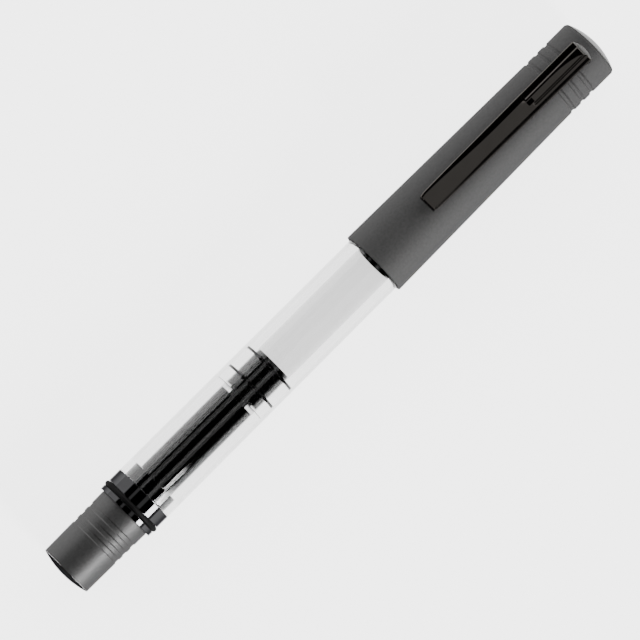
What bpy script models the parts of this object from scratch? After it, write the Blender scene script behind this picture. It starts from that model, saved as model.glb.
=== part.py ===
"""Piston-filling fountain pen, capped, lying along X with its clip up.

The cap points to +X. The origin is under the middle of the pen, on the surface that it lies on.
Stations are distances from the tail end along the pen, radii are taken from the pen's axis, and
heights are taken from the axis along +Z. All lengths are in metres.
"""

import math

import bmesh
import bpy

MM = 0.001

# Overall size
LENGTH = 137.7 * MM
FIT_GAP = 0.1 * MM          # clearance between pieces that touch on the real pen
COARSE_STEPS = 24           # sides of small turned pieces
FINE_STEPS = 24             # sides of the large turned pieces

# Turning knob and what holds it
KNOB_RIM = 0.9 * MM         # station of the knob's tail rim
KNOB_FRONT = 15.8 * MM
KNOB_TAIL_RADIUS = 5.35 * MM
KNOB_FRONT_RADIUS = 5.5 * MM
KNOB_GROOVES = (8.7 * MM, 10.65 * MM, 12.6 * MM)
KNOB_GROOVE_WIDTH = 1.0 * MM
GROOVE_DEPTH = 0.12 * MM
KNOB_FINIAL_RADIUS = 5.2 * MM
KNOB_WEB = (4.0 * MM, 11.0 * MM)        # solid middle of the knob that grips the screw
KNOB_TAIL_RECESS_RADIUS = 4.3 * MM
KNOB_FRONT_RECESS_RADIUS = 4.2 * MM
DRIVE_SHAFT_RADIUS = 1.5 * MM
DRIVE_SHAFT_TAIL = 4.3 * MM
DRIVE_FLANGE = (17.15 * MM, 18.35 * MM)
DRIVE_FLANGE_RADIUS = 2.6 * MM
SCREW_FRONT = 43.5 * MM
SCREW_ROOT_RADIUS = 0.85 * MM
SCREW_LOBE_HEIGHT = 0.3 * MM
SCREW_LOBES = 3
SCREW_LEAD = 7.67 * MM      # the piston moves this far for one turn of the knob

# Collar, posting ring and guide sleeve
COLLAR = (15.9 * MM, 20.8 * MM)
COLLAR_RADIUS = 6.15 * MM
BUSHING_FRONT = 23.75 * MM
BUSHING_RADIUS = 4.8 * MM
COLLAR_BORE = 3.3 * MM
ORING_STATION = 17.5 * MM
ORING_SECTION_RADIUS = 0.55 * MM
ORING_OUTER_RADIUS = 6.4 * MM
SLEEVE_TAIL = 17.0 * MM
SLEEVE_SHOULDER = 23.85 * MM
SLEEVE_FRONT = 44.6 * MM
SLEEVE_RADIUS = 3.72 * MM
SLEEVE_BORE = 2.1 * MM
GUIDE_LENGTH = 2.0 * MM
GUIDE_RADIUS = 3.0 * MM

# Barrel
BARREL_TAIL = 20.9 * MM
BARREL_FRONT = 90.0 * MM
BARREL_TAIL_RADIUS = 6.12 * MM
BARREL_FRONT_RADIUS = 6.0 * MM
BORE_RADIUS = 3.85 * MM
TAIL_SOCKET = 23.85 * MM    # how far the collar's bushing goes in
TAIL_SOCKET_RADIUS = 4.9 * MM
FRONT_SOCKET = 81.6 * MM    # where the socket for the grip section starts
FRONT_SOCKET_RADIUS = 4.8 * MM

# Piston, drawn wound back to the tail
ROD_TAIL = 18.8 * MM
ROD_FRONT = 50.0 * MM
ROD_RADIUS = 1.95 * MM
ROD_BORE = 1.35 * MM
ROD_FLAT = 1.7 * MM         # height of the two flats above the axis
HEAD = (45.9 * MM, 54.2 * MM)
HEAD_RADIUS = 3.68 * MM
SEAL_STATIONS = {"piston_seal_rear": 48.4 * MM, "piston_seal_front": 53.1 * MM}
SEAL_WIDTH = 0.8 * MM
SEAL_LIP_WIDTH = 0.33 * MM
SEAL_RADIUS = 3.8 * MM
SEAL_GROOVE_RADIUS = 3.0 * MM

# Writing end, under the cap
RING = (90.1 * MM, 91.6 * MM)
RING_RADIUS = 6.0 * MM
SECTION_BACK = 83.0 * MM
SECTION_SHOULDER = 91.7 * MM
SECTION_FRONT = 110.0 * MM
SECTION_RADIUS = 5.15 * MM
SECTION_WAIST = 4.7 * MM
SECTION_SPIGOT_RADIUS = 4.7 * MM
SECTION_BORE = 3.7 * MM
SECTION_INK_HOLE = 1.5 * MM
HOUSING = (90.0 * MM, 109.4 * MM)
HOUSING_RADIUS = 3.6 * MM
HOUSING_BORE = 3.12 * MM
FEED = (92.0 * MM, 122.0 * MM)
FEED_RADIUS = 2.5 * MM
FEED_TIP_RADIUS = 0.8 * MM
FEED_TAPER = 113.0 * MM
FIN_COUNT = 6
FIN_PITCH = 1.5 * MM
FIN_SLOT = 0.6 * MM
FIN_DEPTH = 0.7 * MM
NIB_BACK = 101.0 * MM
NIB_SHOULDER = 113.0 * MM
NIB_TIP = 127.5 * MM
NIB_RADIUS = 3.0 * MM
NIB_SHEET = 0.3 * MM
NIB_SHANK_ANGLE = math.radians(72)
NIB_TIP_RADIUS = 1.3 * MM
NIB_TIP_HEIGHT = 1.5 * MM
NIB_TIP_HALF_WIDTH = 0.4 * MM
SLIT_HALF_WIDTH = 0.05 * MM
BREATHER = 117.0 * MM
BREATHER_RADIUS = 0.6 * MM

# Cap
CAP_MOUTH = 80.1 * MM
CAP_RIM = 136.1 * MM        # station of the corner under the domed end
CAP_TAPER_END = 125.0 * MM
CAP_MOUTH_RADIUS = 6.73 * MM
CAP_RADIUS = 6.15 * MM
CAP_GROOVES = (126.4 * MM, 128.85 * MM, 131.2 * MM)
CAP_GROOVE_WIDTH = 0.8 * MM
CAP_MOUTH_BORE = 6.13 * MM
CAP_BORE_STEP = 92.0 * MM
CAP_BORE = 5.72 * MM
CAP_WEB = 131.5 * MM        # the cap's inner end wall starts here
CAP_WEB_BORE = 3.05 * MM
INNER_CAP_BACK = 92.3 * MM
INNER_CAP_STEP = 111.0 * MM
INNER_CAP_END = 131.3 * MM
INNER_CAP_RADIUS = 5.6 * MM
INNER_CAP_WIDE_BORE = 5.3 * MM
INNER_CAP_BORE = 4.8 * MM
INNER_CAP_WALL = 1.2 * MM
BOSS_END = 135.0 * MM
BOSS_RADIUS = 2.9 * MM
STUD_RADIUS = 1.4 * MM
STUD_BACK = 132.0 * MM
FINIAL_FACE = 136.2 * MM
FINIAL_RADIUS = 6.0 * MM

# Clip
CLIP_TIP = 94.1 * MM
CLIP_KNEE = 97.5 * MM       # the clip is highest above the cap here
CLIP_ROOT = 134.9 * MM
CLIP_KNEE_HEIGHT = 8.9 * MM
CLIP_ROOT_HEIGHT = 7.45 * MM
CLIP_TONGUE_HEIGHT = 5.3 * MM
CLIP_TIP_HALF_WIDTH = 1.75 * MM
CLIP_ROOT_HALF_WIDTH = 2.45 * MM
CLIP_WALL_DEPTH = 1.45 * MM
CLIP_SHEET = 0.45 * MM
CLIP_BEND = 1.2 * MM        # length over which the root turns down into the slot
CLIP_BEND_WALL = 0.9 * MM
CLIP_TONGUE_WALL = 0.3 * MM
# The rounded tip: distance ahead of its end, height, and depth of its side walls
CLIP_TIP_ROWS = (
    (0.0, 6.8 * MM, 0.25 * MM),
    (0.0, 7.5 * MM, 0.8 * MM),
    (0.5 * MM, 8.3 * MM, 1.2 * MM),
    (1.6 * MM, 8.75 * MM, 1.45 * MM),
)
# Half of the bent section: share of the half width, and share of the shoulder's drop
CLIP_SECTION = ((0.0, 0.0), (0.6, 0.05), (0.85, 0.3), (1.0, 1.0))
CLIP_SHOULDER = 0.5 * MM
SLOT = (133.1 * MM, 135.6 * MM)
SLOT_HALF_WIDTH = 2.6 * MM
SLOT_FLOOR = 4.3 * MM

# A flat side of the widest turned piece faces down, so the lowest point is at its middle.
AXIS_HEIGHT = CAP_MOUTH_RADIUS * math.cos(math.pi / FINE_STEPS)


def clear_scene():
    for thing in list(bpy.data.objects):
        bpy.data.objects.remove(thing, do_unlink=True)


def new_collection(name):
    collection = bpy.data.collections.new(name)
    bpy.context.scene.collection.children.link(collection)
    return collection


def material(name, colour, roughness, metallic=0.0, alpha=1.0):
    made = bpy.data.materials.new(name)
    made.use_nodes = True
    shader = made.node_tree.nodes["Principled BSDF"]
    shader.inputs["Base Color"].default_value = (*colour, 1.0)
    shader.inputs["Roughness"].default_value = roughness
    shader.inputs["Metallic"].default_value = metallic
    shader.inputs["Alpha"].default_value = alpha
    return made


clear_scene()
PEN = new_collection("fountain_pen")
CUTTERS = new_collection("cutters")

CAP_GREY = ("cap_grey", (0.12, 0.12, 0.125), 0.6)
KNOB_GREY = ("knob_grey", (0.14, 0.14, 0.145), 0.4)
BLACK_CHROME = ("black_chrome", (0.12, 0.12, 0.13), 0.06, 1.0)
CLEAR = ("clear_acrylic", (0.93, 0.95, 0.96), 0.03, 0.0, 0.35)
GLOSS_BLACK = ("gloss_black", (0.015, 0.015, 0.015), 0.12)
CLIP_BLACK = ("clip_black", (0.02, 0.02, 0.02), 0.15, 0.6)
RUBBER = ("rubber", (0.02, 0.02, 0.02), 0.7)
STEEL = ("steel", (0.62, 0.62, 0.63), 0.25, 1.0)
LINER_GREY = ("liner_grey", (0.3, 0.3, 0.31), 0.5)
FEED_BLACK = ("feed_black", (0.02, 0.02, 0.022), 0.45)


def finish_object(thing, look, collection=PEN):
    """Link an object that is drawn in pen coordinates and shade it."""
    collection.objects.link(thing)
    if look is not None:
        thing.data.materials.append(material(thing.name + "_" + look[0], *look[1:]))
    thing.data.shade_smooth()
    thing.data.set_sharp_from_angle(angle=math.radians(30))
    return thing


def place(thing, station=0.0, height=0.0):
    """Put an object's origin at a station and a height over the axis."""
    thing.location = (station - LENGTH / 2, 0.0, AXIS_HEIGHT + height)
    return thing


def turned(name, outline, look, steps=COARSE_STEPS, closed=True):
    """Turn (station, radius) points about the pen's axis.

    The outline runs down the outer side from the cap end to the tail end, and a closed one
    comes back through the bore. Its points lie half a step round, so a flat side faces down.
    """
    half_step = math.pi / steps
    points = [(r * math.cos(half_step), r * math.sin(half_step), s) for s, r in outline]
    edges = [(i, i + 1) for i in range(len(points) - 1)]
    if closed:
        edges.append((len(points) - 1, 0))
    mesh = bpy.data.meshes.new(name)
    mesh.from_pydata(points, edges, [])
    thing = bpy.data.objects.new(name, mesh)
    finish_object(thing, look)
    place(thing)
    thing.rotation_euler = (0.0, math.pi / 2, 0.0)
    screw = thing.modifiers.new("turn", "SCREW")
    screw.axis = "Z"
    screw.angle = 2 * math.pi
    screw.steps = steps
    screw.render_steps = steps
    screw.use_merge_vertices = True
    screw.merge_threshold = 0.00001
    screw.use_smooth_shade = True
    return thing


def box_cutter(name, low, high):
    """A box between two corners given as (station, side, height over the axis)."""
    cube = bmesh.new()
    bmesh.ops.create_cube(cube, size=1.0)
    size = [b - a for a, b in zip(low, high)]
    middle = [(a + b) / 2 for a, b in zip(low, high)]
    bmesh.ops.scale(cube, vec=size, verts=cube.verts)
    mesh = bpy.data.meshes.new(name)
    cube.to_mesh(mesh)
    cube.free()
    cutter = bpy.data.objects.new(name, mesh)
    CUTTERS.objects.link(cutter)
    cutter.location = (middle[0] - LENGTH / 2, middle[1], AXIS_HEIGHT + middle[2])
    cutter.hide_render = True
    cutter.display_type = "WIRE"
    return cutter


def boolean(thing, cutter, operation="DIFFERENCE"):
    cut = thing.modifiers.new(cutter.name, "BOOLEAN")
    cut.operation = operation
    cut.solver = "EXACT"
    cut.object = cutter
    return cut


def arc(middle, radius, start, end, count):
    """Points of an arc in (station, radius), angles in degrees from the +station direction."""
    turns = [math.radians(start + (end - start) * i / (count - 1)) for i in range(count)]
    return [(middle[0] + radius * math.cos(a), middle[1] + radius * math.sin(a)) for a in turns]


def dome(face, radius, height, towards_cap, count=6):
    """Points of a shallow dome from its apex to its edge, standing on the plane at face."""
    ball = (radius ** 2 + height ** 2) / (2 * height)
    sign = 1 if towards_cap else -1
    points = []
    for i in range(count):
        r = radius * i / (count - 1)
        points.append((face + sign * (height - ball + math.sqrt(ball ** 2 - r ** 2)), r))
    return points


def grooves(stations, width, radius_at):
    """Outer-side points of shallow grooves, listed from the cap end to the tail end."""
    points = []
    for station in sorted(stations, reverse=True):
        high, low = station + width / 2, station - width / 2
        points.append((high, radius_at(high)))
        points.append((high - width / 4, radius_at(high) - GROOVE_DEPTH))
        points.append((low + width / 4, radius_at(low) - GROOVE_DEPTH))
        points.append((low, radius_at(low)))
    return points


def knob_radius(station):
    along = (station - KNOB_RIM) / (KNOB_FRONT - KNOB_RIM)
    return KNOB_TAIL_RADIUS + along * (KNOB_FRONT_RADIUS - KNOB_TAIL_RADIUS)


def cap_radius(station):
    """The cap tapers from its mouth and then runs straight to its rim."""
    along = min(1.0, (station - CAP_MOUTH) / (CAP_TAPER_END - CAP_MOUTH))
    return CAP_MOUTH_RADIUS + along * (CAP_RADIUS - CAP_MOUTH_RADIUS)


# Knob group -------------------------------------------------------------------------------

def make_knob():
    rim = 0.2 * MM
    outline = [(KNOB_FRONT, KNOB_FRONT_RADIUS - rim), (KNOB_FRONT - rim, KNOB_FRONT_RADIUS)]
    outline += grooves(KNOB_GROOVES, KNOB_GROOVE_WIDTH, knob_radius)
    outline += [(KNOB_RIM + rim, knob_radius(KNOB_RIM + rim)), (KNOB_RIM, KNOB_TAIL_RADIUS - rim)]
    hub_bore = DRIVE_SHAFT_RADIUS + FIT_GAP
    outline += [
        (KNOB_RIM, KNOB_TAIL_RECESS_RADIUS + FIT_GAP),
        (KNOB_WEB[0], KNOB_TAIL_RECESS_RADIUS + FIT_GAP),
        (KNOB_WEB[0], hub_bore),
        (KNOB_WEB[1], hub_bore),
        (KNOB_WEB[1], KNOB_FRONT_RECESS_RADIUS),
        (KNOB_FRONT, KNOB_FRONT_RECESS_RADIUS),
    ]
    return turned("turning_knob", outline, KNOB_GREY, FINE_STEPS)


def make_knob_finial():
    face = KNOB_RIM - FIT_GAP
    plug_end = 2.2 * MM
    outline = [
        (plug_end, 0.0),
        (plug_end, KNOB_TAIL_RECESS_RADIUS),
        (face, KNOB_TAIL_RECESS_RADIUS),
        (face, KNOB_FINIAL_RADIUS),
    ]
    outline += list(reversed(dome(face - 0.1 * MM, KNOB_FINIAL_RADIUS, face - 0.1 * MM, False)))
    return turned("knob_finial", outline, KNOB_GREY, FINE_STEPS, closed=False)


def make_knob_screw():
    head_back, head_front = 2.5 * MM, KNOB_WEB[0] - FIT_GAP
    head_radius, shank_radius, shank_end = 2.3 * MM, 0.75 * MM, 9.0 * MM
    socket_radius, socket_depth = 1.0 * MM, 0.9 * MM
    outline = [
        (shank_end, 0.0),
        (shank_end, shank_radius),
        (head_front, shank_radius),
        (head_front, head_radius),
        (head_back, head_radius),
        (head_back, socket_radius),
        (head_back + socket_depth, socket_radius),
        (head_back + socket_depth, 0.0),
    ]
    return turned("knob_screw", outline, STEEL, closed=False)


def make_drive_screw():
    """A flanged shaft, joined to a twisted three-lobed rod that is the steep thread."""
    screw_bore, bore_end = 0.85 * MM, 9.2 * MM
    overlap = 1.0 * MM
    outline = [
        (DRIVE_FLANGE[1] + overlap, 0.0),
        (DRIVE_FLANGE[1] + overlap, SCREW_ROOT_RADIUS),
        (DRIVE_FLANGE[1], SCREW_ROOT_RADIUS),
        (DRIVE_FLANGE[1], DRIVE_FLANGE_RADIUS),
        (DRIVE_FLANGE[0], DRIVE_FLANGE_RADIUS),
        (DRIVE_FLANGE[0], DRIVE_SHAFT_RADIUS),
        (DRIVE_SHAFT_TAIL, DRIVE_SHAFT_RADIUS),
        (DRIVE_SHAFT_TAIL, screw_bore),
        (bore_end, screw_bore),
        (bore_end, 0.0),
    ]
    shaft = turned("drive_screw", outline, STEEL, closed=False)
    boolean(shaft, make_screw_thread(), "UNION")
    return shaft


def make_screw_thread():
    """The lobed rod: one ring of points per slice, turned a little further at each slice."""
    back, slices, sides = DRIVE_FLANGE[1] - 0.4 * MM, 20, 12
    rod = bmesh.new()
    rings = []
    for i in range(slices + 1):
        station = back + (SCREW_FRONT - back) * i / slices
        twist = 2 * math.pi * (station - back) / SCREW_LEAD
        ring = []
        for k in range(sides):
            angle = 2 * math.pi * k / sides
            lift = 0.5 + 0.5 * math.cos(SCREW_LOBES * angle)
            r = SCREW_ROOT_RADIUS + SCREW_LOBE_HEIGHT * lift
            ring.append(rod.verts.new((
                station - LENGTH / 2,
                r * math.cos(angle + twist),
                AXIS_HEIGHT + r * math.sin(angle + twist))))
        rings.append(ring)
    for first, second in zip(rings, rings[1:]):
        for k in range(sides):
            n = (k + 1) % sides
            rod.faces.new((first[k], first[n], second[n], second[k]))
    rod.faces.new(list(reversed(rings[0])))
    rod.faces.new(rings[-1])
    bmesh.ops.recalc_face_normals(rod, faces=rod.faces)
    mesh = bpy.data.meshes.new("screw_thread")
    rod.to_mesh(mesh)
    rod.free()
    thread = bpy.data.objects.new("screw_thread", mesh)
    CUTTERS.objects.link(thread)
    thread.hide_render = True
    thread.display_type = "WIRE"
    return thread


def make_thrust_washer():
    back, inner, outer = 15.2 * MM, 1.65 * MM, 4.0 * MM
    outline = [(KNOB_FRONT, outer), (back, outer), (back, inner), (KNOB_FRONT, inner)]
    return turned("thrust_washer", outline, LINER_GREY)


# Tail fittings ----------------------------------------------------------------------------

def make_collar():
    edge = 0.12 * MM
    groove_half = ORING_SECTION_RADIUS + FIT_GAP
    groove_floor = ORING_OUTER_RADIUS - 2 * ORING_SECTION_RADIUS - FIT_GAP
    outline = [
        (BUSHING_FRONT, BUSHING_RADIUS),
        (COLLAR[1], BUSHING_RADIUS),
        (COLLAR[1], COLLAR_RADIUS - edge),
        (COLLAR[1] - edge, COLLAR_RADIUS),
        (ORING_STATION + groove_half, COLLAR_RADIUS),
        (ORING_STATION + groove_half, groove_floor),
        (ORING_STATION - groove_half, groove_floor),
        (ORING_STATION - groove_half, COLLAR_RADIUS),
        (COLLAR[0] + edge, COLLAR_RADIUS),
        (COLLAR[0], COLLAR_RADIUS - edge),
        (COLLAR[0], COLLAR_BORE),
        (BUSHING_FRONT, COLLAR_BORE),
    ]
    return turned("tail_collar", outline, BLACK_CHROME, FINE_STEPS)


def oring(name, station, outer_radius, section_radius, steps):
    middle = (station, outer_radius - section_radius)
    outline = arc(middle, section_radius, 0, 360, 9)[:-1]
    return turned(name, outline, RUBBER, steps)


def make_retaining_ring():
    front = DRIVE_FLANGE[0] - FIT_GAP
    outer, inner = COLLAR_BORE - FIT_GAP, DRIVE_SHAFT_RADIUS + FIT_GAP
    outline = [(front, outer), (COLLAR[0], outer), (COLLAR[0], inner), (front, inner)]
    return turned("retaining_ring", outline, STEEL)


def make_sleeve():
    pocket = DRIVE_FLANGE[1] + FIT_GAP
    guide_back = SLEEVE_FRONT - GUIDE_LENGTH - FIT_GAP
    outline = [
        (SLEEVE_FRONT, SLEEVE_RADIUS),
        (SLEEVE_SHOULDER, SLEEVE_RADIUS),
        (SLEEVE_SHOULDER, COLLAR_BORE - FIT_GAP),
        (SLEEVE_TAIL + FIT_GAP, COLLAR_BORE - FIT_GAP),
        (SLEEVE_TAIL + FIT_GAP, DRIVE_FLANGE_RADIUS + FIT_GAP),
        (pocket, DRIVE_FLANGE_RADIUS + FIT_GAP),
        (pocket, SLEEVE_BORE),
        (guide_back, SLEEVE_BORE),
        (guide_back, GUIDE_RADIUS + FIT_GAP),
        (SLEEVE_FRONT, GUIDE_RADIUS + FIT_GAP),
    ]
    return turned("guide_sleeve", outline, GLOSS_BLACK)


def flat_sided(name, back, front, radius, flat):
    """A closed round bar with two flats, kept as a Boolean partner."""
    outline = [(front, 0.0), (front, radius), (back, radius), (back, 0.0)]
    bar = turned(name, outline, None, closed=False)
    PEN.objects.unlink(bar)
    CUTTERS.objects.link(bar)
    bar.hide_render = True
    bar.display_type = "WIRE"
    slab = box_cutter(name + "_slab", (back - MM, -2 * radius, -flat), (front + MM, 2 * radius, flat))
    boolean(bar, slab, "INTERSECT")
    return bar


def make_rod_guide():
    front = SLEEVE_FRONT - FIT_GAP / 2
    outline = [
        (front, GUIDE_RADIUS),
        (front - GUIDE_LENGTH, GUIDE_RADIUS),
        (front - GUIDE_LENGTH, 0.0),
    ]
    guide = turned("rod_guide", [(front, 0.0)] + outline, GLOSS_BLACK, closed=False)
    hole = flat_sided("rod_guide_hole", front - GUIDE_LENGTH - MM, front + MM,
                      ROD_RADIUS + FIT_GAP, ROD_FLAT + FIT_GAP)
    boolean(guide, hole)
    return guide


def make_barrel():
    edge = 0.15 * MM
    outline = [
        (BARREL_FRONT, BARREL_FRONT_RADIUS - edge),
        (BARREL_FRONT - edge, BARREL_FRONT_RADIUS),
        (BARREL_TAIL, BARREL_TAIL_RADIUS),
        (BARREL_TAIL, TAIL_SOCKET_RADIUS),
        (TAIL_SOCKET, TAIL_SOCKET_RADIUS),
        (TAIL_SOCKET, BORE_RADIUS),
        (FRONT_SOCKET, BORE_RADIUS),
        (FRONT_SOCKET, FRONT_SOCKET_RADIUS),
        (BARREL_FRONT, FRONT_SOCKET_RADIUS),
    ]
    return turned("barrel", outline, CLEAR, FINE_STEPS)


# Piston group -----------------------------------------------------------------------------

def make_piston_rod():
    outline = [
        (ROD_FRONT, ROD_RADIUS),
        (ROD_TAIL, ROD_RADIUS),
        (ROD_TAIL, ROD_BORE),
        (ROD_FRONT, ROD_BORE),
    ]
    rod = turned("piston_rod", outline, GLOSS_BLACK)
    slab = box_cutter("rod_flats", (ROD_TAIL - MM, -2 * ROD_RADIUS, -ROD_FLAT),
                      (ROD_FRONT + MM, 2 * ROD_RADIUS, ROD_FLAT))
    boolean(rod, slab, "INTERSECT")
    return rod


def make_piston_head():
    """The head has a socket for the rod and a groove under each seal."""
    socket = ROD_FRONT + FIT_GAP
    edge = 0.15 * MM
    outline = [(HEAD[1], 0.0), (HEAD[1], HEAD_RADIUS - edge), (HEAD[1] - edge, HEAD_RADIUS)]
    for station in sorted(SEAL_STATIONS.values(), reverse=True):
        high = station + SEAL_WIDTH / 2 + FIT_GAP
        low = station - SEAL_WIDTH / 2 - FIT_GAP
        floor = SEAL_GROOVE_RADIUS - FIT_GAP
        outline += [(high, HEAD_RADIUS), (high, floor), (low, floor), (low, HEAD_RADIUS)]
    outline += [
        (HEAD[0] + edge, HEAD_RADIUS),
        (HEAD[0], HEAD_RADIUS - edge),
        (HEAD[0], ROD_RADIUS + FIT_GAP),
        (socket, ROD_RADIUS + FIT_GAP),
        (socket, 0.0),
    ]
    return turned("piston_head", outline, GLOSS_BLACK, FINE_STEPS, closed=False)


def make_seal(name, station):
    half, lip = SEAL_WIDTH / 2, SEAL_LIP_WIDTH / 2
    shoulder = HEAD_RADIUS - 0.08 * MM
    outline = [
        (station + half, shoulder),
        (station + lip, SEAL_RADIUS),
        (station - lip, SEAL_RADIUS),
        (station - half, shoulder),
        (station - half, SEAL_GROOVE_RADIUS),
        (station + half, SEAL_GROOVE_RADIUS),
    ]
    return turned(name, outline, RUBBER, FINE_STEPS)


# Writing end ------------------------------------------------------------------------------

def make_section_ring():
    edge = 0.15 * MM
    inner = SECTION_SPIGOT_RADIUS + FIT_GAP
    outline = [
        (RING[1], RING_RADIUS - edge),
        (RING[1] - edge, RING_RADIUS),
        (RING[0] + edge, RING_RADIUS),
        (RING[0], RING_RADIUS - edge),
        (RING[0], inner),
        (RING[1], inner),
    ]
    return turned("section_ring", outline, BLACK_CHROME, FINE_STEPS)


def make_section():
    """The grip narrows to a waist and flares again at its lip."""
    lip = 0.5 * MM
    outline = [
        (SECTION_FRONT, SECTION_WAIST - lip / 2),
        (SECTION_FRONT - lip, SECTION_WAIST + lip / 2),
    ]
    count = 6
    for i in range(count):
        along = i / (count - 1)
        station = SECTION_FRONT - 2 * lip - along * (SECTION_FRONT - 2 * lip - SECTION_SHOULDER)
        flare = (2 * along - 0.7) ** 2 / 1.69
        outline.append((station, SECTION_WAIST + flare * (SECTION_RADIUS - SECTION_WAIST)))
    outline += [
        (SECTION_SHOULDER, SECTION_SPIGOT_RADIUS),
        (SECTION_BACK, SECTION_SPIGOT_RADIUS),
        (SECTION_BACK, SECTION_INK_HOLE),
        (HOUSING[0] - FIT_GAP, SECTION_INK_HOLE),
        (HOUSING[0] - FIT_GAP, SECTION_BORE),
        (SECTION_FRONT, SECTION_BORE),
    ]
    return turned("grip_section", outline, GLOSS_BLACK)


def make_housing():
    outline = [
        (HOUSING[1], HOUSING_RADIUS),
        (HOUSING[0], HOUSING_RADIUS),
        (HOUSING[0], HOUSING_BORE),
        (HOUSING[1], HOUSING_BORE),
    ]
    return turned("nib_housing", outline, GLOSS_BLACK)


def make_feed():
    """A round bar with fins, tapered towards the nib's point."""
    def radius_at(station):
        along = max(0.0, (station - FEED_TAPER) / (FEED[1] - FEED_TAPER))
        return FEED_RADIUS + along * (FEED_TIP_RADIUS - FEED_RADIUS)

    outline = [(FEED[1], 0.0), (FEED[1], FEED_TIP_RADIUS)]
    first_exposed = SECTION_FRONT + FIN_PITCH / 2
    for i in reversed(range(FIN_COUNT)):
        low = first_exposed + i * FIN_PITCH
        high = low + FIN_SLOT
        depth = FIN_DEPTH * radius_at(low) / FEED_RADIUS
        outline.append((high, radius_at(high)))
        outline.append((high, radius_at(high) - depth))
        outline.append((low, radius_at(low) - depth))
        outline.append((low, radius_at(low)))
    outline += [(FEED[0], FEED_RADIUS), (FEED[0], 0.0)]
    return turned("feed", outline, FEED_BLACK, closed=False)


def nib_half_width(station):
    """Half the sheet's width, measured round its curve."""
    shank = NIB_RADIUS * NIB_SHANK_ANGLE
    if station <= NIB_SHOULDER:
        return shank
    along = (station - NIB_SHOULDER) / (NIB_TIP - NIB_SHOULDER)
    swell = 0.35 * MM * math.sin(math.pi * min(1.0, along * 3.0))
    return NIB_TIP_HALF_WIDTH + (shank - NIB_TIP_HALF_WIDTH) * (1 - along) ** 1.25 + swell


def nib_inner_edge(station):
    """Distance from the middle line to the metal: the breather hole, then the slit."""
    reach = BREATHER_RADIUS ** 2 - (station - BREATHER) ** 2
    hole = math.sqrt(reach) if reach > 0 else 0.0
    slit = SLIT_HALF_WIDTH if station > BREATHER else 0.0
    return max(hole, slit)


def make_nib():
    """Half of a curved sheet, mirrored across the slit."""
    stations = [NIB_BACK, 107.0 * MM, NIB_SHOULDER, 115.0 * MM]
    stations += [BREATHER + BREATHER_RADIUS * k for k in (-1.0, -0.7, 0.0, 0.7, 1.0)]
    stations += [119.5 * MM, 121.5 * MM, 123.5 * MM, 125.5 * MM, NIB_TIP]
    across = 6
    sheet = bmesh.new()
    rows = []
    for station in stations:
        along = max(0.0, (station - NIB_SHOULDER) / (NIB_TIP - NIB_SHOULDER))
        radius = NIB_RADIUS + along * (NIB_TIP_RADIUS - NIB_RADIUS)
        top = NIB_RADIUS + along * (NIB_TIP_HEIGHT - NIB_RADIUS)
        inner, outer = nib_inner_edge(station), nib_half_width(station)
        row = []
        for k in range(across):
            angle = (inner + (outer - inner) * k / (across - 1)) / radius
            row.append(sheet.verts.new((
                station, radius * math.sin(angle), top - radius + radius * math.cos(angle))))
        rows.append(row)
    for back, front in zip(rows, rows[1:]):
        for k in range(across - 1):
            sheet.faces.new((back[k], front[k], front[k + 1], back[k + 1]))
    return sheet_object("nib", sheet, NIB_SHEET, STEEL)


def sheet_object(name, sheet, thickness, look):
    """A half sheet in (station, side, height), mirrored across its middle and thickened."""
    bmesh.ops.recalc_face_normals(sheet, faces=sheet.faces)
    if sum((f.normal.z for f in sheet.faces)) < 0:
        bmesh.ops.reverse_faces(sheet, faces=sheet.faces)
    mesh = bpy.data.meshes.new(name)
    sheet.to_mesh(mesh)
    sheet.free()
    thing = bpy.data.objects.new(name, mesh)
    finish_object(thing, look)
    place(thing)
    mirror = thing.modifiers.new("other_half", "MIRROR")
    mirror.use_axis = (False, True, False)
    mirror.merge_threshold = 0.00001
    shell = thing.modifiers.new("sheet", "SOLIDIFY")
    shell.thickness = thickness
    shell.offset = -1.0
    return thing


# Cap group --------------------------------------------------------------------------------

def make_cap():
    """A tapered tube with an inner end wall, and the clip's slot cut through its side."""
    rim = 0.3 * MM
    lip = 0.1 * MM
    outline = [(CAP_RIM, CAP_RADIUS - rim), (CAP_RIM - rim, CAP_RADIUS)]
    outline += grooves(CAP_GROOVES, CAP_GROOVE_WIDTH, cap_radius)
    outline += [
        (CAP_TAPER_END, CAP_RADIUS),
        (CAP_MOUTH + lip, CAP_MOUTH_RADIUS),
        (CAP_MOUTH, CAP_MOUTH_RADIUS - lip),
        (CAP_MOUTH, CAP_MOUTH_BORE),
        (CAP_BORE_STEP, CAP_MOUTH_BORE),
        (CAP_BORE_STEP, CAP_BORE),
        (CAP_WEB, CAP_BORE),
        (CAP_WEB, CAP_WEB_BORE),
        (CAP_RIM, CAP_WEB_BORE),
    ]
    cap = turned("cap_shell", outline, CAP_GREY, FINE_STEPS)
    slot = box_cutter("clip_slot", (SLOT[0], -SLOT_HALF_WIDTH, SLOT_FLOOR),
                      (SLOT[1], SLOT_HALF_WIDTH, 2 * CAP_RADIUS))
    boolean(cap, slot)
    return cap


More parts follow.
